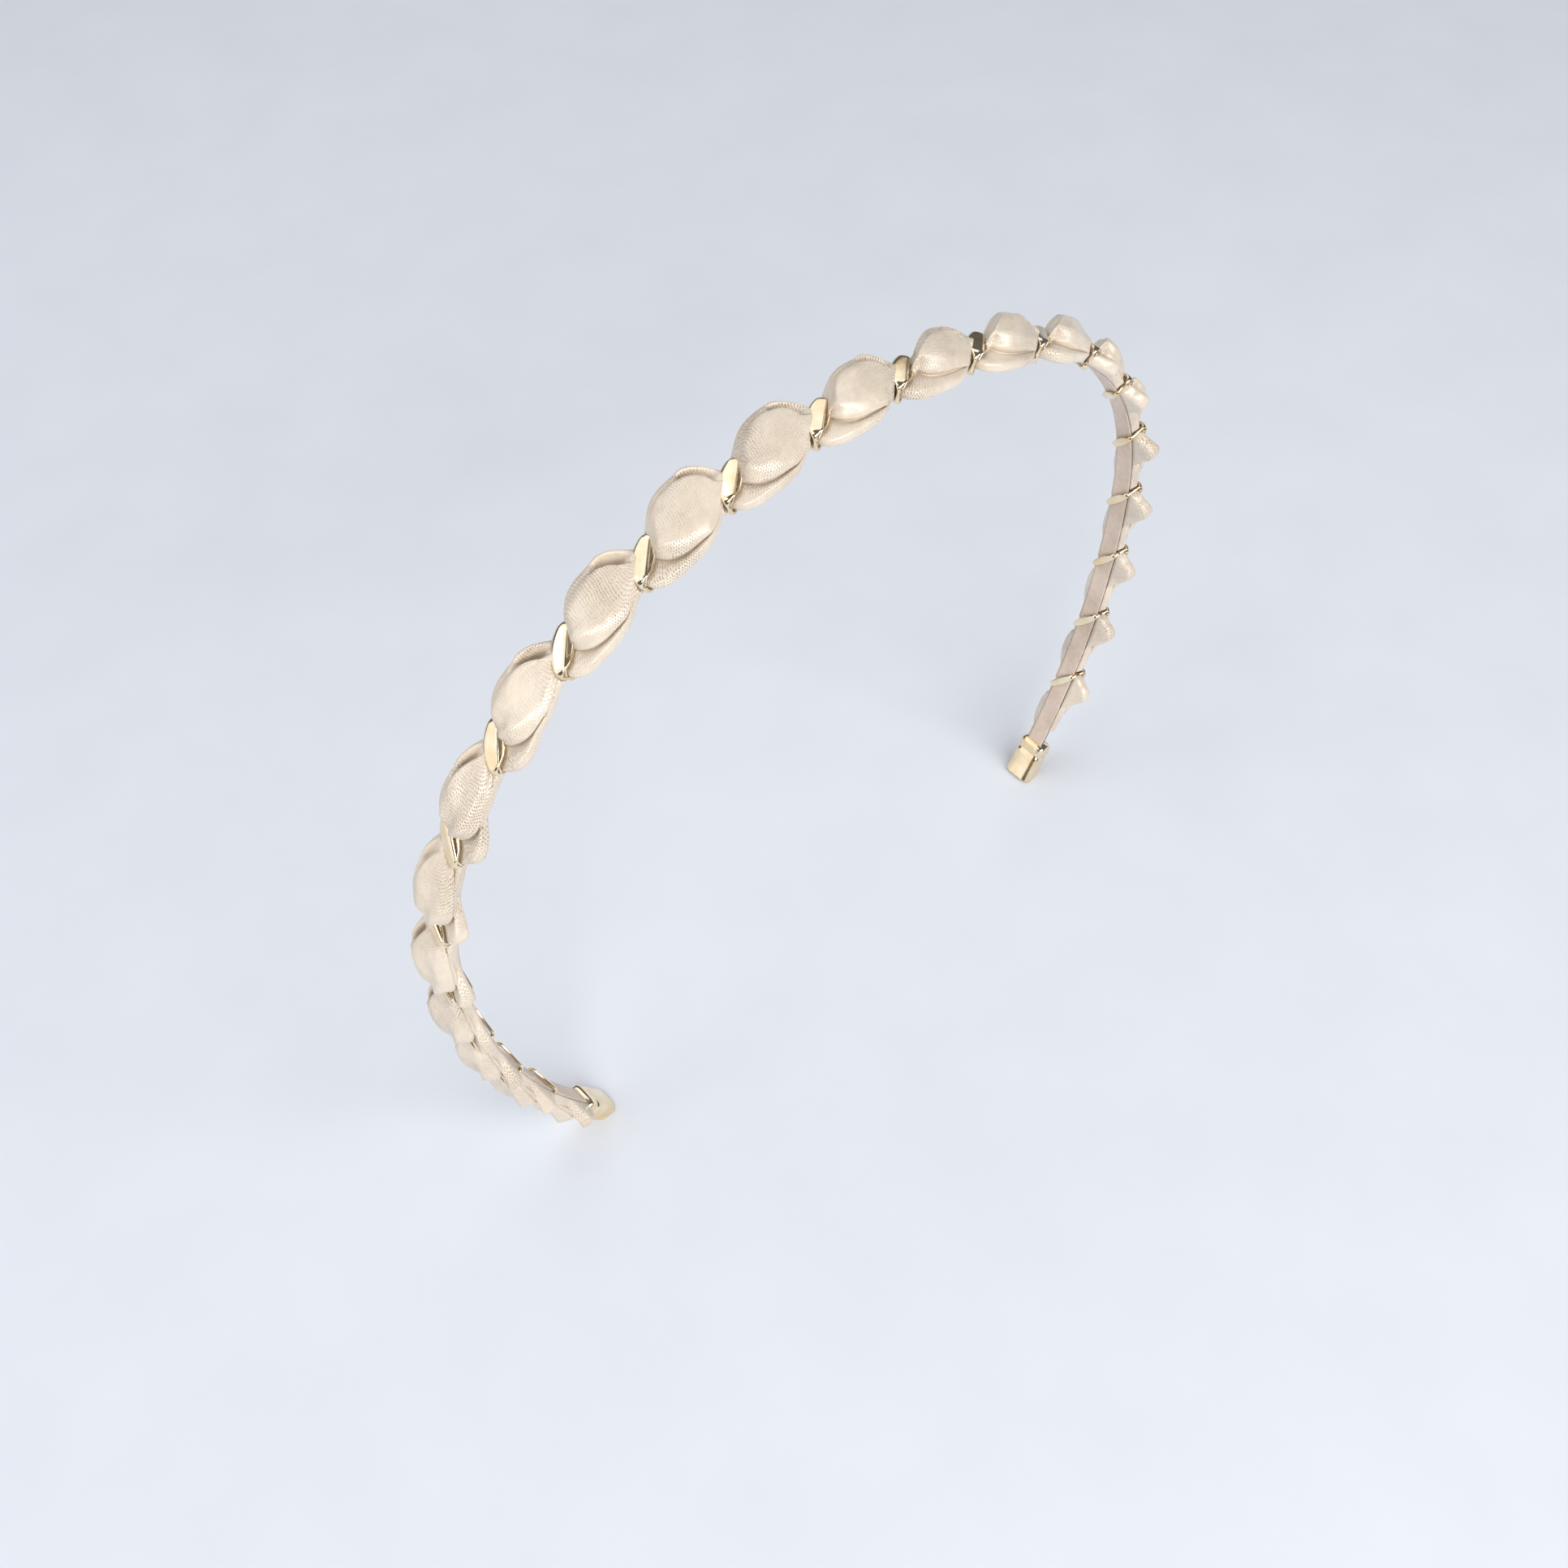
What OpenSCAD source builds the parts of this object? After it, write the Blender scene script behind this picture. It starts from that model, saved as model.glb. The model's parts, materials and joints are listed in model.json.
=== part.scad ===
// Headband: a slim spring hoop dressed with a satin ribbon that is laced
// through a row of slanted gold links. The ribbon swells into a puff between
// every two links. The hoop stands on its two tips, crown up, front towards -Y.
//
// Places along the band are given by s, the distance from the top of the crown
// along the hoop's outer face, positive towards +X (the wearer's left).

/* [Hoop shape] */
// Radius of the crown, on the hoop's outer face
crown_r = 94; // [85:1:105]
// Half angle that the crown arc covers
crown_half = 31.5; // [28:0.5:35]
// Radius of each shoulder
shoulder_r = 57.5; // [52:0.5:62]
// Slope of the band where the shoulder ends and the leg begins
shoulder_end = 87; // [84:0.5:90]
// Radius of each leg, which curves in behind the ear
leg_r = 130; // [120:1:150]
// Distance along the band from the top of the crown to the foot
half_len = 185; // [184:0.5:188]

/* [Strip and lining] */
// Width of the spring strip
strip_w = 3.2; // [2.8:0.1:3.2]
// Thickness of the spring strip
strip_t = 1; // [0.8:0.1:1.2]
// Width of the satin tape on the inner face
lining_w = 3.4; // [3:0.1:3.4]
// Thickness of the satin tape
lining_t = 0.5; // [0.4:0.1:0.6]

/* [Ribbon puffs] */
// Distance from one puff to the next along the band
pitch = 16; // [15.6:0.1:16.2]
// Number of puffs, an even number
puffs = 22; // [22:2:22]
// Greatest width of a puff across the band
puff_w = 11.6; // [11:0.2:12.2]
// Height of a puff above the strip
puff_h = 4.8; // [4.4:0.1:5.2]
// Width of the ribbon where it is gathered inside a link
tuck_w = 3; // [2.6:0.1:3.2]
// Thickness of the gathered ribbon
tuck_t = 0.8; // [0.7:0.1:0.9]

/* [Gold links] */
// Length of a link, measured across the band along its slant
link_len = 8.2; // [8.2:0.1:8.6]
// Greatest width of a link
link_w = 3; // [2.8:0.1:3.4]
// Thickness of the link's metal
link_t = 0.5; // [0.5:0.05:0.6]
// Slant of the links to the band
link_slant = 50; // [46:1:51]

/* [Tips] */
// Width of the crimped tip
tip_w = 6; // [5.6:0.2:6.6]
// Thickness of the crimped tip
tip_t = 4.2; // [4:0.2:4.8]

/* [Spring joints] */
// Gap between puffs at which each arm flexes, counted from the crown
flex_gap = 4; // [4:1:4]
// Space between the crown strip and an arm strip
flex_slit = 0.4; // [0.4:0.1:0.6]

/* [Hidden] */
$fn = 64;
half_count = puffs / 2;
links = puffs - 1;
deg = 180 / PI;
// Space inside a link outside and inside of what it holds, taken up as an arm flexes
link_play_out = 0.5;
link_play_in = 0.45;
// Width that a link narrows to at its two sides
link_side_w = 1.1;
// Half of the space between two neighbouring gathers of ribbon
tuck_gap = 0.25;
// Space between a puff and the strip that it covers
puff_lift = 0.15;
// Space between a puff and the link at its end
end_gap = 0.4;
tip_start = half_count * pitch + 0.5;
strip_end = tip_start + 6;

// Where the crown meets the shoulder, and the shoulder the leg
s_shoulder = crown_r * crown_half / deg;
s_leg = s_shoulder + shoulder_r * (shoulder_end - crown_half) / deg;
foot_angle = shoulder_end + (half_len - s_leg) / leg_r * deg;

// Centres of the three arcs, measured from the top of the crown
shoulder_x = (crown_r - shoulder_r) * sin(crown_half);
shoulder_z = -crown_r + (crown_r - shoulder_r) * cos(crown_half);
leg_x = shoulder_x + (shoulder_r - leg_r) * sin(shoulder_end);
leg_z = shoulder_z + (shoulder_r - leg_r) * cos(shoulder_end);
top_z = -(leg_z + leg_r * cos(foot_angle));

// Each arc: first s, last s, radius, centre x, centre z, slope at the first s
reach = half_len + 6;
reach_angle = shoulder_end + (reach - s_leg) / leg_r * deg;
ARCS = [
    [-reach, -s_leg, leg_r, -leg_x, leg_z, -reach_angle],
    [-s_leg, -s_shoulder, shoulder_r, -shoulder_x, shoulder_z, -shoulder_end],
    [-s_shoulder, s_shoulder, crown_r, 0, -crown_r, -crown_half],
    [s_shoulder, s_leg, shoulder_r, shoulder_x, shoulder_z, crown_half],
    [s_leg, reach, leg_r, leg_x, leg_z, shoulder_end]
];

function slope(arc, s) = arc[5] + (s - arc[0]) / arc[2] * deg;
function arc_at(s) = [for (arc = ARCS) if (s >= arc[0] && s <= arc[1]) arc][0];
function two_digits(i) = str(i < 10 ? "0" : "", i);

PUFF_NODES = [for (i = [1:puffs]) str("puff_", two_digits(i))];
LINK_NODES = [for (i = [1:links]) str("link_", two_digits(i))];

satin = [0.88, 0.80, 0.72];
gold = [0.85, 0.66, 0.33];
steel = [0.62, 0.62, 0.64];

// Moves children from the flat to place s: X along the band, Z outwards
module at_place(s) {
    arc = arc_at(s);
    a = slope(arc, s);
    translate([arc[3] + arc[2] * sin(a), 0, top_z + arc[4] + arc[2] * cos(a)])
        rotate([0, a, 0]) children();
}

// Sweeps a section along the band from s = a to s = b. The section's X is the
// distance outwards from the strip's outer face and its Y is across the band.
module run(a, b) {
    for (arc = ARCS) {
        lo = max(a, arc[0]);
        hi = min(b, arc[1]);
        if (hi - lo > 0.01)
            translate([arc[3], 0, top_z + arc[4]])
                rotate([90, 0, 0])
                    rotate([0, 0, 90 - slope(arc, hi)])
                        rotate_extrude(angle = slope(arc, hi) - slope(arc, lo), $fn = 180)
                            translate([arc[2], 0]) children();
    }
}

// A rectangle w by t with its corners cut at 45 degrees, from x = low upwards
module chamfered(low, t, w, cut) {
    h = w / 2;
    polygon([
        [low + cut, -h], [low + t - cut, -h], [low + t, -h + cut], [low + t, h - cut],
        [low + t - cut, h], [low + cut, h], [low, h - cut], [low, -h + cut]
    ]);
}

// A rectangle w by h, centred, with round corners
module rounded(w, h, r) {
    square([w - 2 * r, h], center = true);
    square([w, h - 2 * r], center = true);
    for (x = [-1, 1], y = [-1, 1])
        translate([x * (w / 2 - r), y * (h / 2 - r)]) circle(r = r);
}

// The spring strip from s = a to s = b
module strip(a, b) {
    color(steel) run(a, b) chamfered(-strip_t, strip_t, strip_w, 0.2);
}

// The satin tape under the strip from s = a to s = b
module lining(a, b) {
    color(satin) run(a, b) chamfered(-strip_t - lining_t, lining_t, lining_w, 0.1);
}

// Outline of a puff from above: both ends follow the slant of the links, so the
// back edge leans towards +X and the front edge towards -X
module puff_outline() {
    h = puff_w / 2;
    end_x = pitch / 2 - (link_w / 2 + end_gap) / cos(link_slant);
    end_y = 2.4;
    lean = end_y * tan(link_slant);
    polygon([
        [-end_x + lean, end_y], [-3, 0.64 * h], [-0.9, 0.9 * h], [1.6, h],
        [3.8, 0.94 * h], [6, 0.68 * h], [end_x + lean, end_y],
        [end_x - lean, -end_y], [1.6, -0.74 * h], [-0.8, -0.86 * h], [-4, -0.93 * h],
        [-7.2, -0.86 * h], [-9, -0.6 * h], [-end_x - lean, -end_y]
    ]);
}

// A puff of ribbon over place s, with its gathered ends reaching into the links
module puff(i) {
    s = (i - half_count - 0.5) * pitch;
    dome_r = 10;
    cross_r = 6.4;
    skirt = 1.3;
    color(satin) union() {
        at_place(s) difference() {
            intersection() {
                translate([0, 0, -skirt]) linear_extrude(height = puff_h + skirt) puff_outline();
                translate([0, 0, puff_h - dome_r]) rotate([90, 0, 0])
                    cylinder(r = dome_r, h = puff_w + 2, center = true);
                translate([0, 0, puff_h - cross_r]) rotate([0, 90, 0])
                    cylinder(r = cross_r, h = 2 * pitch, center = true);
            }
            translate([-pitch, -lining_w / 2 - puff_lift, -4])
                cube([2 * pitch, lining_w + 2 * puff_lift, 4 + puff_lift]);
        }
        run(s - pitch / 2 + tuck_gap, s + pitch / 2 - tuck_gap)
            chamfered(puff_lift, tuck_t, tuck_w, 0.1);
    }
}

// Outline of a link from above: two arcs that narrow it towards its sides
module link_outline() {
    chord = link_len / 2;
    sag = (link_w - link_side_w) / 2;
    r = (chord * chord + sag * sag) / (2 * sag);
    intersection_for (side = [-1, 1])
        translate([side * (r - link_w / 2), 0]) circle(r = r, $fn = 180);
}

// A gold link: a flat ring around strip and ribbon, slanted across them, with
// a narrow slit that parts a thin second bar from the broad one
module link(i) {
    s = (i - half_count) * pitch;
    low = -strip_t - lining_t - link_play_in;
    high = puff_lift + tuck_t + link_play_out;
    inner_len = link_len - 2 * link_t;
    slit_end = inner_len / 2 - 1.2;
    color(gold) at_place(s) rotate([0, 0, -link_slant]) difference() {
        intersection() {
            translate([0, 0, (low + high) / 2]) rotate([90, 0, 90])
                linear_extrude(height = link_w + 1, center = true) difference() {
                    rounded(link_len, high - low + 2 * link_t, 1.4);
                    rounded(inner_len, high - low, 0.8);
                }
            translate([0, 0, low - 2]) linear_extrude(height = high - low + 4) link_outline();
        }
        translate([0, 0, high - 0.3]) linear_extrude(height = 2)
            polygon([[0.3, -slit_end], [0.6, slit_end], [0.9, slit_end]]);
    }
}

// The crimped tip over the strip's end, cut level where it stands; side is -1 or 1
module tip(side) {
    color(gold) intersection() {
        mirror([side < 0 ? 1 : 0, 0, 0]) difference() {
            run(tip_start, half_len + 5) chamfered(-tip_t / 2 - 0.2, tip_t, tip_w, 0.7);
            run(tip_start - 1, strip_end)
                chamfered(-strip_t - lining_t, strip_t + lining_t + puff_lift + tuck_t, lining_w, 0.1);
        }
        translate([0, 0, top_z]) cube([2 * top_z, 4 * tip_w, 2 * top_z], center = true);
    }
}

flex_s = flex_gap * pitch;
crown_end = flex_s - flex_slit / 2;
arm_start = flex_s + flex_slit / 2;

module strip_crown() { strip(-crown_end, crown_end); }
module strip_arm_right() { strip(-strip_end, -arm_start); }
module strip_arm_left() { mirror([1, 0, 0]) strip_arm_right(); }
module lining_crown() { lining(-crown_end, crown_end); }
module lining_arm_right() { lining(-strip_end, -arm_start); }
module lining_arm_left() { mirror([1, 0, 0]) lining_arm_right(); }

strip_crown();
strip_arm_right();
strip_arm_left();
lining_crown();
lining_arm_right();
lining_arm_left();
tip(-1);  // tip_right
tip(1);  // tip_left
for (i = [1:puffs]) puff(i);
for (i = [1:links]) link(i);
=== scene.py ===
"""Headband: satin ribbon puffs laced through slanted gold links on a slim spring hoop.

Lengths are in millimetres where a name or comment says so, and in metres in Blender.
A place on the band is (s, f, n): s along the strip's outer face from the top of the
crown towards the wearer's left, f towards the front, n outwards from the strip.
"""

import json
import math

import bpy
import numpy as np
from mathutils import Matrix, Vector


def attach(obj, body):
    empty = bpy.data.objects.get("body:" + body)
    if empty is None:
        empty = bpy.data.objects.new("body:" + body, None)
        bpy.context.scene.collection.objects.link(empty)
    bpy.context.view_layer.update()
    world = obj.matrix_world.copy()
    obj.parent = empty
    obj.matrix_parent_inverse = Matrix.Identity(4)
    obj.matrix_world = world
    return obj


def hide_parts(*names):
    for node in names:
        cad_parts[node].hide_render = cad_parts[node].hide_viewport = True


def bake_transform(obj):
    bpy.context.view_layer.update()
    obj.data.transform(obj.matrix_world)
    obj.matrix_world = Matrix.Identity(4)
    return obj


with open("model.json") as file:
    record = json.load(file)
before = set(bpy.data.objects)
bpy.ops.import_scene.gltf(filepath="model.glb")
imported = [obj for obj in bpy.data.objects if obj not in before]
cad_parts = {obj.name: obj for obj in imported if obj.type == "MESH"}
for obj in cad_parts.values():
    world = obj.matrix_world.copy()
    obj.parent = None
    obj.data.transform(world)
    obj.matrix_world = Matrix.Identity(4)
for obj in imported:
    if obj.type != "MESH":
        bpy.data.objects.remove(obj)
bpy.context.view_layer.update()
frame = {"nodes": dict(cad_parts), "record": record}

MM = 0.001
SEED = 11

# ---------------------------------------------------------------- the hoop, in mm
# Each half is three arcs of the strip's outer face: crown, shoulder and leg.
CROWN_R, SHOULDER_R, LEG_R = 94.0, 57.5, 130.0
CROWN_A, SHOULDER_A = math.radians(31.5), math.radians(87.0)  # slopes where the arcs end
HALF_LEN = 185.0
PITCH = 16.0  # from link to link
PUFFS = 22
HALF_COUNT = PUFFS // 2
FLEX_S = 4 * PITCH  # the links that cover the flex joints
STRIP_T = 1.0
LINING_T, LINING_W = 0.5, 3.4
TIP_START = HALF_COUNT * PITCH + 0.5

S_SHOULDER = CROWN_R * CROWN_A
S_LEG = S_SHOULDER + SHOULDER_R * (SHOULDER_A - CROWN_A)
SHOULDER_X = (CROWN_R - SHOULDER_R) * math.sin(CROWN_A)
SHOULDER_Z = -CROWN_R + (CROWN_R - SHOULDER_R) * math.cos(CROWN_A)
LEG_X = SHOULDER_X + (SHOULDER_R - LEG_R) * math.sin(SHOULDER_A)
LEG_Z = SHOULDER_Z + (SHOULDER_R - LEG_R) * math.cos(SHOULDER_A)
FOOT_A = SHOULDER_A + (HALF_LEN - S_LEG) / LEG_R
TOP_Z = -(LEG_Z + LEG_R * math.cos(FOOT_A))


def place(s, f, n):
    """Points in metres for arrays of places on the band in mm."""
    s, f, n = np.broadcast_arrays(*(np.asarray(v, float) for v in (s, f, n)))
    a = np.abs(s)
    side = np.where(s < 0, -1.0, 1.0)
    zones = [a <= S_SHOULDER, a <= S_LEG]
    r = np.select(zones, [CROWN_R, SHOULDER_R], LEG_R)
    cx = np.select(zones, [0.0, SHOULDER_X], LEG_X)
    cz = np.select(zones, [-CROWN_R, SHOULDER_Z], LEG_Z)
    slope = np.select(
        zones,
        [a / CROWN_R, CROWN_A + (a - S_SHOULDER) / SHOULDER_R],
        SHOULDER_A + (a - S_LEG) / LEG_R,
    )
    x = side * (cx + (r + n) * np.sin(slope))
    z = TOP_Z + cz + (r + n) * np.cos(slope)
    return np.stack([x, -f, z], -1) * MM


# ---------------------------------------------------------------- camera
CAMERA_AZIMUTH, CAMERA_ELEVATION, CAMERA_ROLL = -40.0, 53.8, -2.3
CAMERA_TARGET = Vector((-0.0089, 0.0, 0.0575))
CAMERA_DISTANCE = 0.298
CAMERA_LENS = 39.5


def make_camera():
    """The photo's viewing angle and framing."""
    az, el = math.radians(CAMERA_AZIMUTH), math.radians(CAMERA_ELEVATION)
    back = Vector((math.sin(az) * math.cos(el), -math.cos(az) * math.cos(el), math.sin(el)))
    data = bpy.data.cameras.new("camera")
    data.lens = CAMERA_LENS
    data.sensor_width = 36.0
    data.clip_start = 0.01
    camera = bpy.data.objects.new("camera", data)
    bpy.context.scene.collection.objects.link(camera)
    turn = (-back).to_track_quat("-Z", "Y").to_matrix().to_4x4()
    roll = Matrix.Rotation(math.radians(CAMERA_ROLL), 4, "Z")
    camera.matrix_world = Matrix.Translation(CAMERA_TARGET + back * CAMERA_DISTANCE) @ turn @ roll
    bpy.context.scene.camera = camera


make_camera()


# ---------------------------------------------------------------- node materials
class Nodes:
    """A new material's node tree, with short ways to add and link nodes."""

    def __init__(self, name):
        self.material = bpy.data.materials.new(name)
        self.material.use_nodes = True
        self.tree = self.material.node_tree
        self.shader = self.tree.nodes["Principled BSDF"]

    def add(self, kind, **settings):
        node = self.tree.nodes.new(kind)
        for key, value in settings.items():
            setattr(node, key, value)
        return node

    def link(self, source, target):
        self.tree.links.new(source, target)

    def value(self, node, **inputs):
        """Set a node's inputs, named with _ for each space."""
        for key, value in inputs.items():
            node.inputs[key.replace("_", " ")].default_value = value

    def place(self):
        """The place on the piece, in metres."""
        return self.add("ShaderNodeTexCoord").outputs["Object"]

    def stretched(self, scale):
        """The place on the piece, multiplied by a scale along each axis."""
        node = self.add("ShaderNodeMapping")
        self.value(node, Scale=scale)
        self.link(self.place(), node.inputs["Vector"])
        return node.outputs["Vector"]

    def ramp(self, source, stops):
        """Colours for a value, from (value, colour) stops in rising order."""
        node = self.add("ShaderNodeValToRGB")
        elements = node.color_ramp.elements
        for i, (at, colour) in enumerate(stops):
            element = elements[i] if i < len(elements) else elements.new(at)
            element.position = at
            element.color = (*colour, 1.0)
        self.link(source, node.inputs["Fac"])
        return node.outputs["Color"]

    def math(self, operation, *values):
        """An operation on outputs, numbers or both."""
        node = self.add("ShaderNodeMath", operation=operation)
        for socket, value in zip(node.inputs, values):
            if isinstance(value, (int, float)):
                socket.default_value = value
            else:
                self.link(value, socket)
        return node.outputs["Value"]

    def noise(self, vector, scale, detail=3.0, roughness=0.5):
        node = self.add("ShaderNodeTexNoise")
        self.value(node, Scale=scale, Detail=detail, Roughness=roughness)
        self.link(vector, node.inputs["Vector"])
        return node.outputs["Fac"]

    def bump(self, height, strength, distance, under=None):
        node = self.add("ShaderNodeBump")
        self.value(node, Strength=strength, Distance=distance)
        self.link(height, node.inputs["Height"])
        if under is not None:
            self.link(under, node.inputs["Normal"])
        return node.outputs["Normal"]


def srgb(r, g, b):
    """A linear colour from display values of 0 to 255, all above 10."""
    return tuple(((c / 255 + 0.055) / 1.055) ** 2.4 for c in (r, g, b))


WEAVE_UV = "weave"
WEAVE_LENGTH, WEAVE_WIDTH = 0.043, 0.080  # spacing of the stitches along and across, in cm
BLACK, NEAR_BLACK, WHITE = (0, 0, 0), (0.1, 0.1, 0.1), (1, 1, 1)


def satin(name, light, deep, stitch_shade, roughness):
    """Ribbon satin with small staggered stitches, darkened in colour as painted shade, laid along the
    ribbon by its UV map in cm.
    """
    m = Nodes(name)
    uv = m.add("ShaderNodeUVMap", uv_map=WEAVE_UV).outputs["UV"]
    where = m.place()

    # waves along and across the ribbon: where their product is high, a stitch sinks
    parts = m.add("ShaderNodeSeparateXYZ")
    m.link(uv, parts.inputs["Vector"])
    wobble = m.math("MULTIPLY", m.noise(uv, 8.0), 9.0)
    along = m.math("MULTIPLY", parts.outputs["Y"], math.tau / WEAVE_LENGTH)
    across = m.math("ADD", m.math("MULTIPLY", parts.outputs["X"], math.tau / WEAVE_WIDTH), wobble)
    dips = m.math("MULTIPLY", m.math("SINE", along), m.math("SINE", across))
    dash = m.ramp(dips, [(0.30, BLACK), (0.95, WHITE)])
    # the stitches fade out in patches, as the satin's shine hides them
    patch = m.ramp(m.noise(where, 95.0, 2.0), [(0.40, NEAR_BLACK), (0.62, WHITE)])
    stitch = m.math("MULTIPLY", dash, patch)

    slub = m.noise(uv, 9.0, 4.0)
    cloud = m.noise(where, 170.0)
    tone = m.math("ADD", m.math("MULTIPLY", cloud, 0.6), m.math("MULTIPLY", slub, 0.4))
    # painted shade: the sunk stitches are also coloured darker, towards the ramp's darkest colour
    tone = m.math("SUBTRACT", tone, m.math("MULTIPLY", stitch, 0.42))
    m.link(m.ramp(tone, [(0.0, stitch_shade), (0.22, deep), (0.62, light)]), m.shader.inputs["Base Color"])
    rough = m.math("ADD", m.math("MULTIPLY", slub, 0.14), roughness - 0.07)
    m.link(rough, m.shader.inputs["Roughness"])

    # height, from broad to fine: soft dents, ribs across the ribbon, sunk stitches
    dents = m.bump(m.noise(where, 420.0, 2.0), 0.35, 0.0003)
    ribs = m.bump(m.math("MULTIPLY", m.math("SINE", along), patch), 0.22, 0.00006, dents)
    sunk = m.bump(m.math("SUBTRACT", 1.0, stitch), 0.8, 0.00014, ribs)
    m.link(sunk, m.shader.inputs["Normal"])
    m.value(m.shader, Specular_IOR_Level=0.85)
    m.value(m.shader, Sheen_Weight=0.2, Sheen_Roughness=0.4, Sheen_Tint=(1.0, 0.95, 0.9, 1.0))
    m.value(m.shader, Subsurface_Weight=0.08, Subsurface_Radius=(0.0016, 0.0009, 0.0006))
    return m.material


def polished_gold(name):
    """Pale gold plating: polished, with hairline scratches, soft dents and uneven tone."""
    m = Nodes(name)
    scratch = m.noise(m.stretched((900.0, 5200.0, 1700.0)), 1.0, 5.0, 0.7)
    cloud = m.noise(m.place(), 260.0, 2.0)
    tone = m.ramp(cloud, [(0.3, srgb(240, 212, 166)), (0.7, srgb(254, 241, 216))])
    m.link(tone, m.shader.inputs["Base Color"])
    rough = m.math("ADD", m.math("MULTIPLY", scratch, 0.16), 0.06)
    m.link(rough, m.shader.inputs["Roughness"])
    soft = m.bump(cloud, 0.12, 0.0002)
    m.link(m.bump(scratch, 0.06, 0.00004, soft), m.shader.inputs["Normal"])
    m.value(m.shader, Metallic=1.0, Coat_Weight=0.25, Coat_Roughness=0.08)
    return m.material


def brushed_steel(name):
    """Spring steel with a grain along the strip."""
    m = Nodes(name)
    grain = m.noise(m.stretched((60.0, 9000.0, 60.0)), 1.0, 4.0, 0.6)
    tone = m.ramp(grain, [(0.3, (0.38, 0.37, 0.36)), (0.7, (0.58, 0.57, 0.56))])
    m.link(tone, m.shader.inputs["Base Color"])
    m.link(m.math("ADD", m.math("MULTIPLY", grain, 0.2), 0.26), m.shader.inputs["Roughness"])
    m.link(m.bump(grain, 0.2, 0.00005), m.shader.inputs["Normal"])
    m.value(m.shader, Metallic=1.0)
    return m.material


def plain_floor(name, colour):
    """Pale paint with a hardly visible mottle."""
    m = Nodes(name)
    grain = m.noise(m.place(), 40.0, 2.0)
    dim = tuple(c * 0.97 for c in colour)
    m.link(m.ramp(grain, [(0.3, dim), (0.7, colour)]), m.shader.inputs["Base Color"])
    m.value(m.shader, Roughness=0.8)
    return m.material


# the third colour of each satin is the painted shade in its sunk stitches
RIBBON = satin("ribbon_satin", srgb(228, 215, 198), srgb(206, 190, 171), srgb(146, 120, 97), 0.3)
LINING = satin("lining_satin", srgb(222, 203, 187), srgb(196, 174, 156), srgb(160, 136, 116), 0.5)
GOLD = polished_gold("polished_gold")
STEEL = brushed_steel("brushed_steel")


# ---------------------------------------------------------------- mesh building
def new_piece(name, points, faces, material, uv=None):
    """A smooth mesh object from points in metres, faces, and one UV in cm for each point."""
    mesh = bpy.data.meshes.new(name)
    mesh.from_pydata(points.reshape(-1, 3).tolist(), [], faces)
    mesh.materials.append(material)
    if uv is not None:
        layer = mesh.uv_layers.new(name=WEAVE_UV)
        corner = np.zeros(len(mesh.loops), np.int32)
        mesh.loops.foreach_get("vertex_index", corner)
        layer.data.foreach_set("uv", uv.reshape(-1, 2)[corner].astype(np.float32).ravel())
    mesh.update()
    mesh.shade_smooth()
    piece = bpy.data.objects.new(name, mesh)
    bpy.context.scene.collection.objects.link(piece)
    return piece


def thicken(piece, millimetres):
    """Give a sheet real thickness, half of it on each side."""
    thick = piece.modifiers.new("thickness", "SOLIDIFY")
    thick.thickness = millimetres * MM
    thick.offset = 0.0


def grid_faces(rows, columns, wrap_rows=False, wrap_columns=False):
    """Quads of a grid of points, closed on itself one way or both."""
    last_row = rows if wrap_rows else rows - 1
    last_column = columns if wrap_columns else columns - 1
    return [
        (
            r * columns + c,
            r * columns + (c + 1) % columns,
            (r + 1) % rows * columns + (c + 1) % columns,
            (r + 1) % rows * columns + c,
        )
        for r in range(last_row)
        for c in range(last_column)
    ]


def tube_faces(rows, columns):
    """Faces of a tube with both of its ends closed."""
    first = tuple(range(columns))[::-1]
    last = tuple((rows - 1) * columns + c for c in range(columns))
    return grid_faces(rows, columns, False, True) + [first, last]


def through(points, samples):
    """Catmull-Rom curves through control points: (rows, k, 2) gives (rows, samples, 2)."""
    k = points.shape[1]
    before = 2 * points[:, :1] - points[:, 1:2]
    after = 2 * points[:, -1:] - points[:, -2:-1]
    p = np.concatenate([before, points, after], 1)
    at = np.linspace(0, k - 1 - 1e-9, samples)
    i = at.astype(int)
    u = (at - i)[None, :, None]
    a, b, c, d = (p[:, i + j] for j in range(4))
    square = 2 * a - 5 * b + 4 * c - d
    cube = 3 * b - a - 3 * c + d
    return 0.5 * (2 * b + (c - a) * u + square * u**2 + cube * u**3)


def smooth_step(x, low, high):
    """0 below low and 1 above high, with an even S between them."""
    t = np.clip((x - low) / (high - low), 0, 1)
    return t * t * (3 - 2 * t)


# ---------------------------------------------------------------- ribbon puffs, in mm
# A puff is a sheet of ribbon that rises from the strip's back edge, crosses the dome, turns
# in at the crease, comes out again as the front lip and ends under the strip's front edge.
# Its rows run along w, the distance along the band before the slanted links shear the puff.
SLANT_REACH, SLANT_EASE = 3.9, 3.3  # how far, and how early, the links pull the edges apart
LEFT_END, RIGHT_END = -8.2, 6.5  # ends of the free ribbon between two links
CORE_HALF = 1.6  # half width of the ribbon inside a link
CORE_LOW, CORE_HIGH = 0.2, 1.1  # what the gathered ribbon fills above the strip
RIBBON_T = 0.28
PLEAT_DEPTH, RIPPLE_DEPTH = 0.13, 0.09
LIP_LEAN = 2.2  # how far a curled lip leans along the band
PROFILE_SAMPLES = 96
BODY_ROWS = 60
BODY_SPREAD = 0.92  # how much closer together the rows are towards the ends
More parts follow.
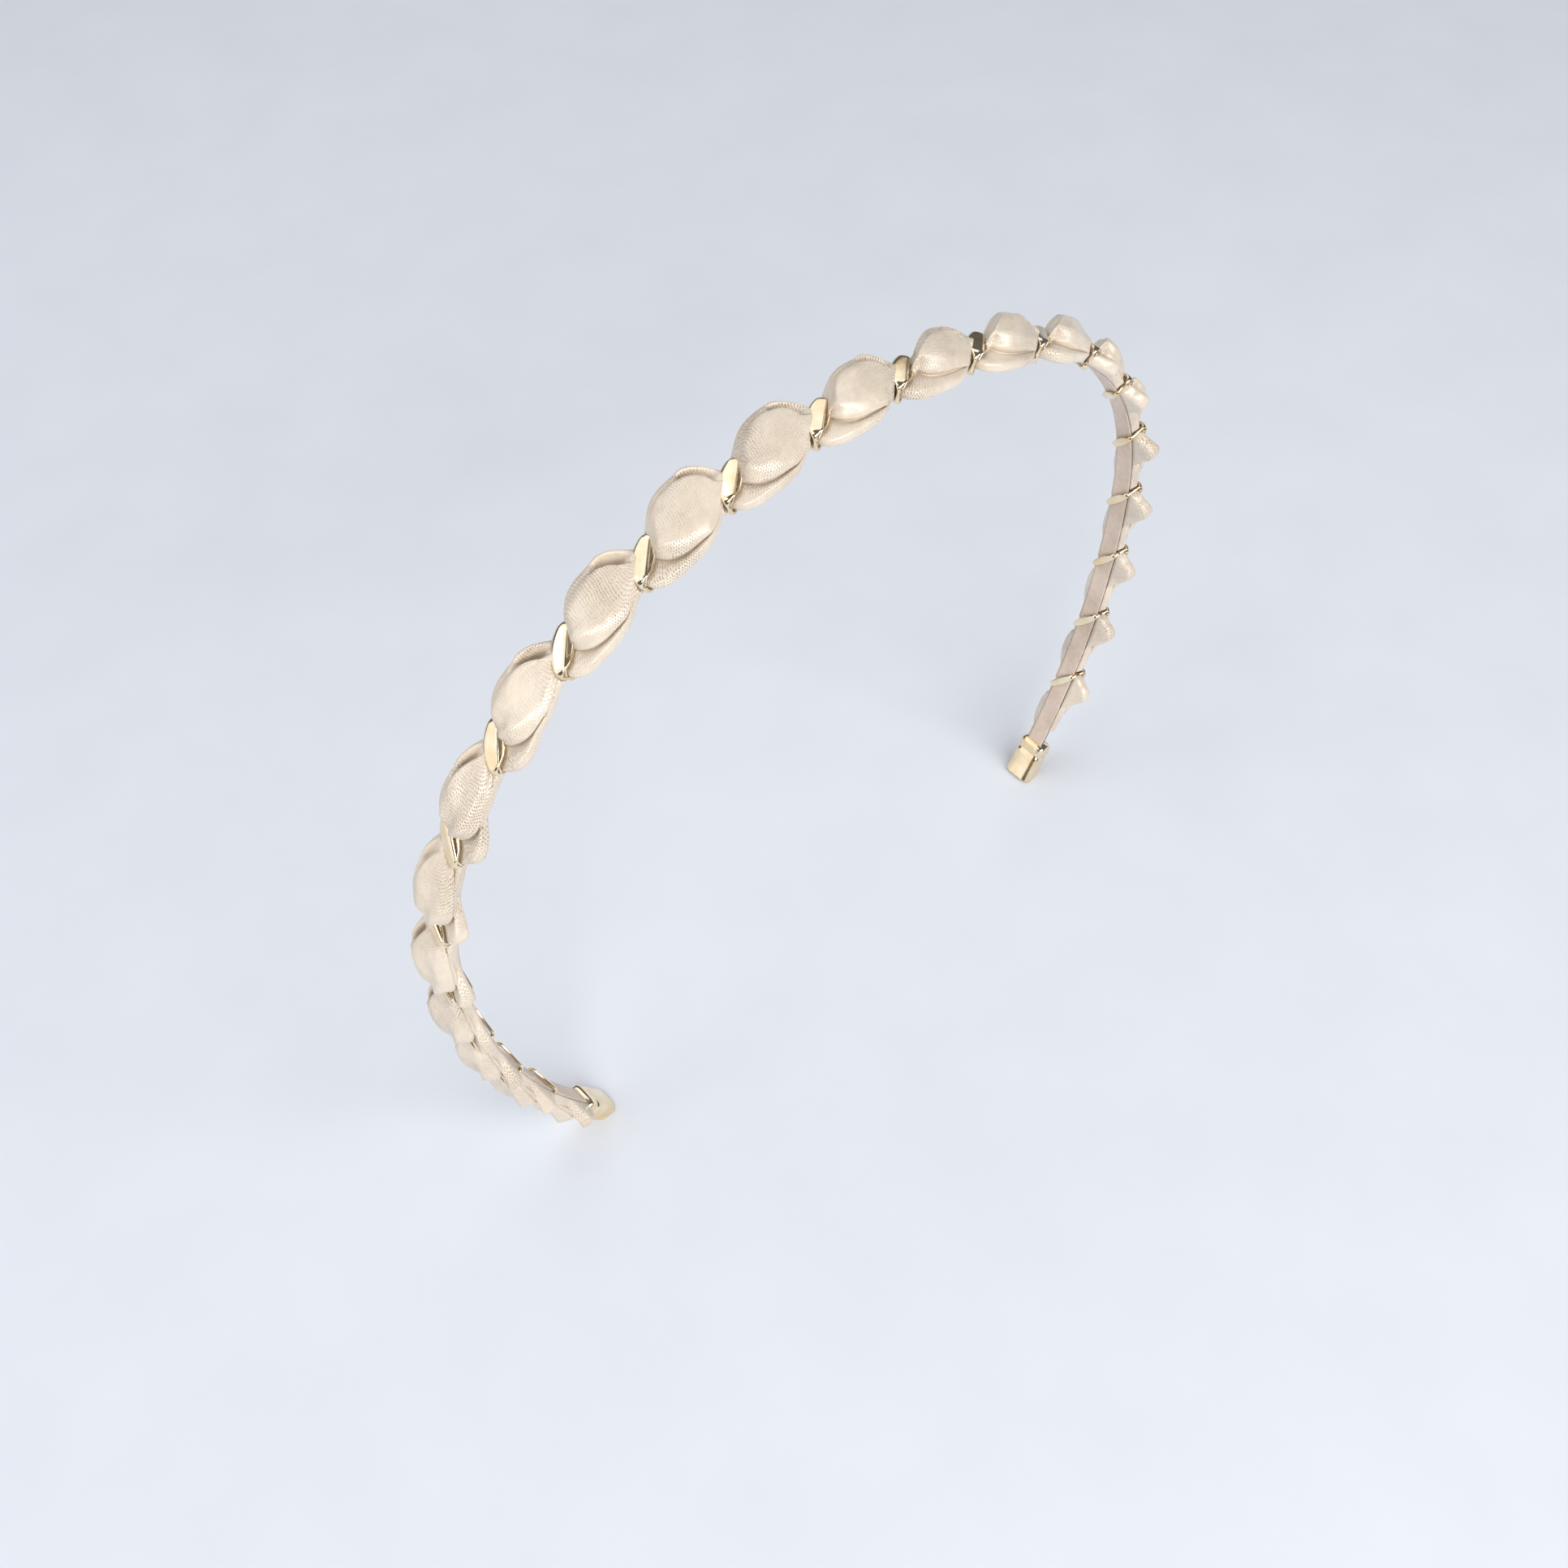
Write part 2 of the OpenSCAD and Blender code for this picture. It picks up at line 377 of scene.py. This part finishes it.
# rows where the ribbon closes into a link: w, share of the full shape, share of its height
LEFT_CLOSE = [(-8.6, 0.0, 1.0), (-8.45, 0.25, 1.0), (-8.3, 0.65, 1.0)]
RIGHT_CLOSE = [
    (RIGHT_END + 0.10, 1.0, 0.93),
    (RIGHT_END + 0.12, 0.98, 0.78),
    (RIGHT_END + 0.05, 0.95, 0.55),
    (RIGHT_END - 0.10, 0.85, 0.35),
    (RIGHT_END, 0.5, 0.3),
    (RIGHT_END + 0.3, 0.0, 1.0),
    (RIGHT_END + 1.1, 0.0, 1.0),
]


def skew(f):
    """How far along the band a point at f is pulled by the slanted links."""
    return -SLANT_REACH * np.tanh(f / SLANT_EASE)


def swell(w, start, end, power):
    """A rise from 0 at w = start to 1 at w = end, rounded off at the top."""
    return np.sin(math.pi / 2 * np.clip((w - start) / (end - start), 0, 1)) ** power


def puff_profile(w, look):
    """Control points (f, n) of the folded ribbon at each w, from the back edge to the front."""
    curl = look["curl"]
    # the front lip: on the crown it runs the whole length, on the legs it is one lobe by a link
    long_lip = look["front"] * np.clip(1 - np.abs((w + 0.7) / 7.9) ** 3, 0, 1) ** 0.62
    lobe = 1.2 + look["front"] * np.clip(1 - np.abs((w + 4.4) / 4.8) ** 2.4, 0, 1) ** 0.7
    front = np.maximum(long_lip * (1 - 0.85 * curl) + 0.85 * lobe * curl, 2.2)
    # the crease: where the dome turns in above the lip
    sag = 0.072 * np.minimum(w - 1.05, 0) ** 2
    edge = look["front"] - look["fold"] - sag
    overhang = 0.12 + 0.5 * look["fold"] * smooth_step(5 - w, 0, 5)
    tucked = np.minimum(edge, long_lip - overhang)
    crease = np.maximum(tucked - 1.9 * curl * smooth_step(w, -1.0, 6.0), 0.9)
    # the dome: how far it swells back, how high it stands, and the pocket along its back rim
    rise = swell(w, LEFT_END - 1.2 + look["open"], LEFT_END + 5.4 + 0.2 * look["open"], 0.75)
    back = 1.9 + (look["back"] - 1.9) * rise * swell(w, 6.9, -0.7, 1.3)
    height = look["height"] * (0.72 + 0.28 * swell(w, LEFT_END, -3.0, 1.0))
    height = height * (1 - look["droop"] * np.clip((w + 1.5) / 8.0, 0, 1) ** 1.15)
    pocket = look["pocket"] * smooth_step(w, -1.4, 0.6) * (1 - smooth_step(w, 1.6, 6.0))
    rim, tuck = look["rim"], look["tuck"]
    ridge = look["ridge"] * smooth_step(-w, -3.5, 1.5)
    lip = look["lip"] * np.exp(-(((w + 4.6) / 3.2) ** 2))
    zero = np.zeros_like(w)
    rows = [
        # under the strip's back edge and up the back wall
        (zero - 1.9, zero - 1.1),
        (zero - 2.25, zero - 0.6),
        (-np.maximum(back - 0.7, 2.2), 0.14 * height + 0.1),
        (-back, 0.42 * height),
        # the rolled rim, the pocket and the top of the dome
        (-back + 0.45, 0.70 * height + 0.15 * pocket),
        (-back + 0.42 * rim, 0.84 * height - 0.95 * pocket),
        (-back + 0.78 * rim, 0.90 * height - 0.95 * pocket),
        (-back + rim, 0.97 * height + 0.05 * pocket),
        (-0.24 * back, height),
        (0.24 * crease, 0.94 * height - 0.55 * ridge),
        (0.66 * crease, 0.81 * height + 0.30 * ridge),
        # over the dome's front edge and into the crease
        (crease - 0.35, 0.58 * height),
        (crease, 0.36 * height + 0.1),
        (crease - 0.4 * tuck, 0.20 * height + 0.2),
        (crease - tuck, 0.14 * height + 0.2),
        (crease - 0.5 * tuck, 0.10 * height - 0.05 * lip),
        # out along the lip and under the strip's front edge
        (crease + 0.35 * (front - crease), 0.13 * height + 0.2 + 0.35 * lip),
        (crease + 0.85 * (front - crease), 0.10 * height + 0.25 + 0.95 * lip),
        (front, zero + 0.05 + 0.75 * lip),
        (front - 0.3, zero - 0.7),
        (zero + 1.9, zero - 1.15),
    ]
    return np.stack([np.stack(r, -1) for r in rows], 1)


def wall(w, f, look):
    """Share of the dome's height at (w, f): none beside the first link, all further on."""
    foot = -5.9 - 0.55 * np.clip(1 - f, 0, 3.5) + look["open"] * smooth_step(-f, -1.0, 3.0)
    share = swell((w - foot) / (2.2 - 0.28 * look["open"]), 0.0, 1.0, 0.6)
    return share + (1 - share) * smooth_step(f, 1.6, 3.0)


def puff_look(s_centre, random):
    """Measures of the puff at s_centre. Puffs open and droop down the sides, and differ a little."""
    leg = smooth_step(abs(s_centre), 36, 100)
    left = smooth_step(s_centre, 0, 24)
    right = smooth_step(-s_centre, 40, 70)
    crown = math.exp(-(((s_centre + 16) / 26) ** 2))
    return {
        "back": 4.6 + 1.4 * crown - 0.3 * leg - 0.5 * right + random.uniform(-0.2, 0.2),
        "front": 5.0 - 0.3 * leg + random.uniform(-0.15, 0.15),
        "fold": 0.8 + 0.9 * left + random.uniform(-0.15, 0.2),
        "height": 4.3 - 0.15 * left + random.uniform(-0.2, 0.15),
        "droop": 0.5 + 0.12 * right + random.uniform(-0.04, 0.04),
        "pocket": 2.9 - 1.6 * leg + random.uniform(-0.4, 0.4),
        "rim": 2.5 - 0.8 * leg + random.uniform(-0.15, 0.15),
        "curl": leg,
        "lip": 0.15 + 1.0 * leg + random.uniform(-0.1, 0.15),
        "ridge": 0.35 + 0.75 * right + random.uniform(-0.2, 0.2),
        "open": 3.2 * left,
        "tuck": 0.85 - 0.5 * left + 0.3 * leg * (1 - left),
        "phase": random.uniform(0, 2 * math.pi),
        "pleats": random.uniform(2.2, 3.4),
    }


def puff_mesh(s_centre, look):
    """Points (rows, samples, 3) and UVs of one puff of ribbon."""
    middle, half = (LEFT_END + RIGHT_END) / 2, (RIGHT_END - LEFT_END) / 2
    reach = BODY_SPREAD * math.pi / 2
    span = np.sin(np.linspace(-reach, reach, BODY_ROWS)) / math.sin(reach)
    body = [(middle + half * x, 1.0, 1.0) for x in span]
    rows = LEFT_CLOSE + body + RIGHT_CLOSE
    where, share, tall = (np.array(column)[:, None] for column in zip(*rows))

    curve = through(puff_profile(np.clip(where[:, 0], LEFT_END, RIGHT_END), look), PROFILE_SAMPLES)
    f, n = curve[..., 0], curve[..., 1]
    n = np.where(n > 0.6, 0.6 + (n - 0.6) * tall * wall(where, f, look), n)

    # shallow pleats that run in from the gathered ends, and a slow ripple over the whole puff
    v = np.linspace(0, 1, PROFILE_SAMPLES)[None, :]
    ends = np.clip(np.abs(where - middle) / half, 0, 1)
    top = smooth_step(n, 0.8, 1.8)
    pleat = np.sin(4 * math.pi * look["pleats"] * v + look["phase"])
    ripple = np.sin(0.9 * where + 5.0 * v + look["phase"]) * np.sin(9.0 * v + 0.28 * where)
    n = n + (PLEAT_DEPTH * ends**4 * pleat + RIPPLE_DEPTH * ripple) * top

    # inside the links the ribbon closes to a slim core
    core_f = np.clip(f / 6.0, -1, 1) * CORE_HALF
    core_n = CORE_LOW + np.clip((n + 0.5) / 5.6, 0, 1) * (CORE_HIGH - CORE_LOW)
    f = f * share + core_f * (1 - share)
    n = n * share + core_n * (1 - share)

    lean = look["curl"] * LIP_LEAN * smooth_step(f, 1.5, 4.0) * smooth_step(-where, 1.0, 7.0)
    points = place(s_centre + where + skew(f) + lean, f, n)

    step = np.linalg.norm(np.diff(points[BODY_ROWS // 2], axis=0), axis=1)
    across = np.concatenate([[0], np.cumsum(step)]) * 100
    along = (where + s_centre) / 10
    uv = np.stack(np.broadcast_arrays(across[None, :], along), -1)
    return points, uv


def make_puffs(body_of):
    random = np.random.default_rng(SEED)
    for i in range(1, PUFFS + 1):
        s_centre = (i - HALF_COUNT - 0.5) * PITCH
        points, uv = puff_mesh(s_centre, puff_look(s_centre, random))
        rows, columns = points.shape[:2]
        node = f"puff_{i:02d}"
        piece = new_piece(f"ribbon_{i:02d}", points, grid_faces(rows, columns), RIBBON, uv)
        thicken(piece, RIBBON_T)
        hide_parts(node)
        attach(piece, body_of[node])


# ---------------------------------------------------------------- gold links, in mm
# A link is a ring round the band. Its place along the slant is d, from the front edge of the
# band (negative) to its back edge. On top it is a broad bar, a slit and a thin second bar.
LINK_SLANT = math.radians(50)
LINK_HALF = 4.1
LINK_LOW, LINK_HIGH = -2.25, 1.95
LINK_CORNER = 1.2
LINK_TAPER = 0.12  # how much shorter the ring is under the strip than on top
LINK_T = 0.5
LINK_HALF_W, LINK_SIDE_HALF_W = 1.65, 0.30
LINK_BULGE = LINK_HALF_W - LINK_SIDE_HALF_W
LINK_LENS_R = (LINK_HALF**2 + LINK_BULGE**2) / (2 * LINK_BULGE)
BROAD_EDGE, BROAD_NARROWS = 1.15, 0.30  # the broad bar's edge at the front, less at the back
BROAD_CROWN, THIN_CROWN = 0.06, 0.05
THIN_START, THIN_END = -3.7, 3.5
THIN_SUNK, THIN_DROP, THIN_END_DROP = 0.05, 0.42, 0.9  # below the ring: all over, back, ends
THIN_EDGE, THIN_LEAST, THIN_OVERHANG = 1.28, 0.18, 0.05  # inner edge, least width, outer edge


def link_half_width(d):
    """Half width of a link at d along its slant: widest in the middle, slim at its sides."""
    return np.sqrt(np.maximum(LINK_LENS_R**2 - d**2, 0)) - (LINK_LENS_R - LINK_HALF_W)


def link_path(samples):
    """Points (d, n) and outward directions round a ring with straight sides and round corners."""
    mid = (LINK_HIGH + LINK_LOW) / 2
    corner_d = LINK_HALF - LINK_CORNER
    corner_n = (LINK_HIGH - LINK_LOW) / 2 - LINK_CORNER
    bend = LINK_CORNER * math.pi / 2
    ends = np.cumsum([0] + [2 * corner_d, bend, 2 * corner_n, bend] * 2)
    corners = [(corner_d, corner_n), (corner_d, -corner_n), (-corner_d, -corner_n), (-corner_d, corner_n)]
    path, out = [], []
    for at in np.linspace(0, ends[-1], samples, endpoint=False):
        k = int(np.searchsorted(ends, at, side="right") - 1)
        along = at - ends[k]
        side, is_corner = divmod(k, 2)
        turn = math.pi / 2 - side * math.pi / 2
        if is_corner:
            angle = turn - along / LINK_CORNER
            normal = (math.cos(angle), math.sin(angle))
            centre = corners[side]
            point = (centre[0] + LINK_CORNER * normal[0], centre[1] + LINK_CORNER * normal[1])
        else:
            normal = (math.cos(turn), math.sin(turn))
            start = corners[side - 1]
            heading = (math.sin(turn), -math.cos(turn))
            point = (
                start[0] + LINK_CORNER * normal[0] + along * heading[0],
                start[1] + LINK_CORNER * normal[1] + along * heading[1],
            )
        n = point[1] + mid
        narrow = 1 - LINK_TAPER * float(smooth_step(LINK_HIGH - n, 0.9, 2.9))
        path.append((point[0] * narrow, n))
        out.append(normal)
    return np.array(path), np.array(out)


def link_section(low, high, crown):
    """Cross-sections of a bar from low to high: (x, offset), crowned outside and flat inside."""
    edge = 0.12  # how far the crown's edges lie below the path
    x = np.linspace(-1, 1, 9)
    outer = -edge + (edge + crown) * (1 - x**2) ** 0.5
    mid = (high + low)[:, None] / 2
    half = (high - low)[:, None] / 2
    outer_x = mid + half * x[None, :]
    inner_x = mid + half * np.array([0.86, 0.0, -0.86])[None, :]
    xs = np.concatenate([outer_x, inner_x], 1)
    inner = np.full((len(low), 3), -LINK_T)
    offsets = np.concatenate([np.tile(outer, (len(low), 1)), inner], 1)
    return xs, offsets


def link_points(s_centre, path, out, low, high, crown):
    """Points of a bar that follows a path across the band, at the links' slant."""
    xs, offsets = link_section(low, high, crown)
    d = path[:, 0, None] + out[:, 0, None] * offsets
    n = path[:, 1, None] + out[:, 1, None] * offsets
    f = -d * math.cos(LINK_SLANT) + xs * math.sin(LINK_SLANT)
    along = d * math.sin(LINK_SLANT) + xs * math.cos(LINK_SLANT)
    return place(s_centre + along, f, n)


def broad_bar():
    """The ring: path, outward directions, the two sides of its bar, and its crown."""
    path, out = link_path(112)
    d, n = path.T
    half = link_half_width(d) * (1 - 0.5 * smooth_step(LINK_HIGH - n, 0.5, 1.8))
    on_top = smooth_step(n, LINK_HIGH - 0.5, LINK_HIGH - 0.1)
    edge = BROAD_EDGE - BROAD_NARROWS * (d + LINK_HALF) / (2 * LINK_HALF)
    return path, out, -half, half + (np.minimum(edge, half) - half) * on_top, BROAD_CROWN


def thin_bar():
    """The second bar, which sinks towards the back and dips into the ring at both ends."""
    d = np.linspace(THIN_START, THIN_END, 48)
    drop = THIN_DROP * smooth_step(d, -3.5, -0.9)
    ends = THIN_END_DROP * smooth_step(np.abs(d), 2.9, 3.7)
    path = np.stack([d, LINK_HIGH - THIN_SUNK - drop - ends], -1)
    out = np.tile([0.0, 1.0], (len(d), 1))
    high = link_half_width(d) + THIN_OVERHANG
    return path, out, np.minimum(THIN_EDGE, high - THIN_LEAST), high, THIN_CROWN


def make_links(body_of):
    broad, thin = broad_bar(), thin_bar()
    for i in range(1, PUFFS):
        s_centre = (i - HALF_COUNT) * PITCH
        ring = link_points(s_centre, *broad)
        bar = link_points(s_centre, *thin)
        rows, columns = ring.shape[:2]
        count = rows * columns
        faces = grid_faces(rows, columns, True, True)
        faces += [tuple(p + count for p in face) for face in tube_faces(*bar.shape[:2])]
        points = np.concatenate([ring.reshape(-1, 3), bar.reshape(-1, 3)])
        node = f"link_{i:02d}"
        piece = new_piece(f"gold_{node}", points, faces, GOLD)
        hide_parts(node)
        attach(piece, body_of[node])


# ---------------------------------------------------------------- lining tape, in mm
TAPE_T = 0.1
TAPE_END = TIP_START + 5.5
TAPE_START = 0.05  # half of the gap between the two lengths, under the middle link
FLEX_HALF = 3  # a distance on each side of a flex joint; the two points that make_lining takes from it are not used


def lining_section():
    """The tape's section (f, n), from the flap of one edge round the face to the other flap."""
    near, far = -STRIP_T - TAPE_T, -STRIP_T - LINING_T + 0.06
    edge = LINING_W / 2
    turn = [(edge - 0.05, far - 0.02), (edge, (near + far) / 2), (edge - 0.1, near + 0.02)]
    other_turn = [(-f, n) for f, n in reversed(turn)]
    face = [(f, far) for f in np.linspace(-edge + 0.3, edge - 0.3, 9)]
    lower_flap, upper_flap = [(edge - 0.5, near - TAPE_T)], [(-edge + 0.5, near)]
    return np.array(lower_flap + other_turn + face + turn + upper_flap)


def make_lining():
    """The satin tape on the inner face: two lengths that meet under the middle link, each
    with both of its edges folded in over each other on the strip's side."""
    section = lining_section()
    width = np.concatenate([[0], np.cumsum(np.linalg.norm(np.diff(section, axis=0), axis=1))])
    for side, arm, nodes in (
        (-1, "arm_right", ["lining_crown", "lining_arm_right"]),
        (1, "arm_left", ["lining_arm_left"]),
    ):
        s = np.linspace(TAPE_START, TAPE_END, 240)
        points = place(side * s[:, None], section[None, :, 0], section[None, :, 1])
        uv = np.stack(np.broadcast_arrays(width[None, :] / 10, s[:, None] / 10), -1)
        rows, columns = points.shape[:2]
        piece = new_piece(f"lining_tape_{arm[4:]}", points, grid_faces(rows, columns), LINING, uv)
        thicken(piece, TAPE_T)
        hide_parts(*nodes)
        start = place((FLEX_S - FLEX_HALF) * side, 0, 0)
        end = place((FLEX_S + FLEX_HALF) * side, 0, 0)
        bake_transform(piece)


# ---------------------------------------------------------------- crimped tips, in mm
TIP_END = HALF_LEN + 0.6
TIP_HALF_W, TIP_HALF_T, TIP_MID = 3.0, 2.1, -0.2
TIP_MOUTH, TIP_MOUTH_SIZE = 0.8, 0.80  # length of the rounded mouth, and its size at the rim
PINCH_AT, PINCH_HALF, PINCH_DEPTH = 2.6, 0.45, 0.10


def make_tips():
    """Gold caps crimped over the strip's ends: soft-edged, pinched once, cut level at the foot."""
    turn = np.linspace(0, 2 * math.pi, 48, endpoint=False)
    # a rounded rectangle as a superellipse
    round_f, round_n = (np.sign(v) * np.abs(v) ** 0.5 for v in (np.cos(turn), np.sin(turn)))
    body = np.linspace(TIP_MOUTH + 0.2, TIP_END - TIP_START, 40)
    along = np.concatenate([np.linspace(0, TIP_MOUTH, 7), body])
    opening = np.sin(math.pi / 2 * np.clip(along / TIP_MOUTH, 0, 1))
    mouth = TIP_MOUTH_SIZE + (1 - TIP_MOUTH_SIZE) * opening
    pinch = 1 - PINCH_DEPTH * np.exp(-(((along - PINCH_AT) / PINCH_HALF) ** 2))
    size = (mouth * pinch)[:, None]
    for side, name in ((-1, "tip_right"), (1, "tip_left")):
        f = TIP_HALF_W * size * round_f[None, :]
        n = TIP_MID + TIP_HALF_T * size * round_n[None, :]
        points = place(side * (TIP_START + along[:, None]), f, n)
        points[..., 2] = np.maximum(points[..., 2], 0.0)
        piece = new_piece(f"gold_{name}", points, tube_faces(*points.shape[:2]), GOLD)
        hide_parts(name)
        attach(piece, "arm_right" if side < 0 else "arm_left")


# ---------------------------------------------------------------- CAD nodes that stay
def finish_cad_nodes():
    """The strips are the only CAD nodes that nothing replaces."""
    for name, node in frame["nodes"].items():
        if name.startswith("strip"):
            node.data.materials.clear()
            node.data.materials.append(STEEL)


# ---------------------------------------------------------------- floor and light
FLOOR_COLOUR = srgb(221, 226, 235)
FLOOR_RADIUS = 1.0
WORLD_LIGHT = 0.13
WORLD_SEEN = 0.72  # brightness of the backdrop where the camera looks past the floor


def make_floor():
    """A pale round floor."""
    mesh = bpy.data.meshes.new("floor")
    turns = np.linspace(0, 2 * math.pi, 128, endpoint=False)
    rim = [(FLOOR_RADIUS * math.cos(a), FLOOR_RADIUS * math.sin(a), 0) for a in turns]
    mesh.from_pydata(rim, [], [tuple(range(len(rim)))])
    mesh.materials.append(plain_floor("floor_paint", FLOOR_COLOUR))
    floor = bpy.data.objects.new("floor", mesh)
    bpy.context.scene.collection.objects.link(floor)


AIM = Vector((0, 0, 0.08))
# name, direction from the hoop, distance and size in metres, power in watts, colour
SOFTBOXES = [
    ("back_box", (0.45, 0.5, 0.75), 0.9, (0.85, 0.7), 1.9, (1, 1, 1)),
    ("middle_box", (-0.25, 0.55, 0.8), 0.9, (0.75, 0.7), 1.7, (1, 1, 1)),
    ("side_box", (-0.85, 0.45, 0.40), 0.9, (0.8, 1.0), 2.5, (1, 1, 1)),
    ("key", (-0.5, 0.0, 0.8), 0.9, (0.25, 0.25), 0.6, (1, 1, 1)),
    ("front", (-0.1, -0.78, 0.55), 1.0, (1.5, 0.3), 13.0, (1.0, 0.99, 0.97)),
]


def softbox(name, direction, distance, size, power, colour):
    data = bpy.data.lights.new(name, "AREA")
    data.shape = "RECTANGLE"
    data.size, data.size_y = size
    data.energy = power
    data.color = colour
    lamp = bpy.data.objects.new(name, data)
    where = Vector(direction).normalized()
    lamp.location = AIM + where * distance
    lamp.rotation_mode = "QUATERNION"
    lamp.rotation_quaternion = (-where).to_track_quat("-Z", "Y")
    bpy.context.scene.collection.objects.link(lamp)


def make_world():
    """A dim even light, with a paler backdrop where the camera sees it."""
    world = bpy.data.worlds.new("studio")
    world.use_nodes = True
    tree = world.node_tree
    background = tree.nodes["Background"]
    background.inputs["Color"].default_value = (0.88, 0.89, 0.92, 1)
    seen = tree.nodes.new("ShaderNodeLightPath")
    strength = tree.nodes.new("ShaderNodeMapRange")
    strength.inputs["To Min"].default_value = WORLD_LIGHT
    strength.inputs["To Max"].default_value = WORLD_SEEN
    tree.links.new(seen.outputs["Is Camera Ray"], strength.inputs["Value"])
    tree.links.new(strength.outputs["Result"], background.inputs["Strength"])
    bpy.context.scene.world = world


bodies = frame["record"]["behaviour"]["bodies"]
body_of = {node: body for body, nodes in bodies.items() for node in nodes}
make_puffs(body_of)
make_links(body_of)
make_lining()
make_tips()
finish_cad_nodes()
make_floor()
for box in SOFTBOXES:
    softbox(*box)
make_world()
bpy.context.scene.view_settings.view_transform = "Standard"
